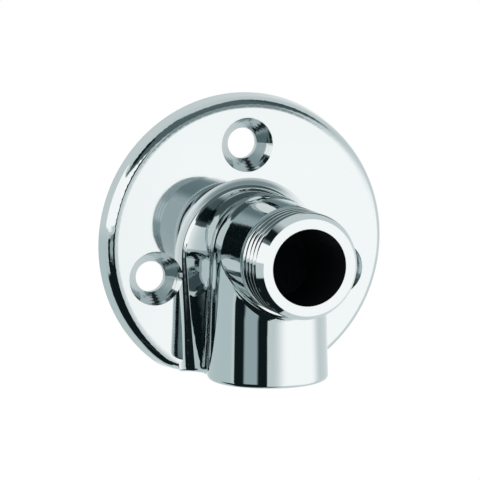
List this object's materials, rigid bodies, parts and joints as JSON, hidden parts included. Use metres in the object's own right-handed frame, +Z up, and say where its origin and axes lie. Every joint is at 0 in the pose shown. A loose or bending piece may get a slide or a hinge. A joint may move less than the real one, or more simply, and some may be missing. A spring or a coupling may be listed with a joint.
{
  "type": "wall plate elbow",
  "caption": "Polished chrome elbow fitting on a round screw-fixed wall plate, with a threaded socket below and a male-threaded outlet facing forward.",
  "frame": {"origin": "middle of the round plate on its back face, on the outlet's axis", "axes": "+X to the right seen from the front, +Y into the wall, +Z up; the outlet points along -Y and the inlet opens along -Z"},
  "size_m": [0.06, 0.039, 0.0555],
  "materials": {
    "chrome_plate": "bright chrome plate on polished cast brass"
  },
  "bodies": {
    "root": {"wall_plate_elbow": "chrome_plate"}
  },
  "joints": []
}
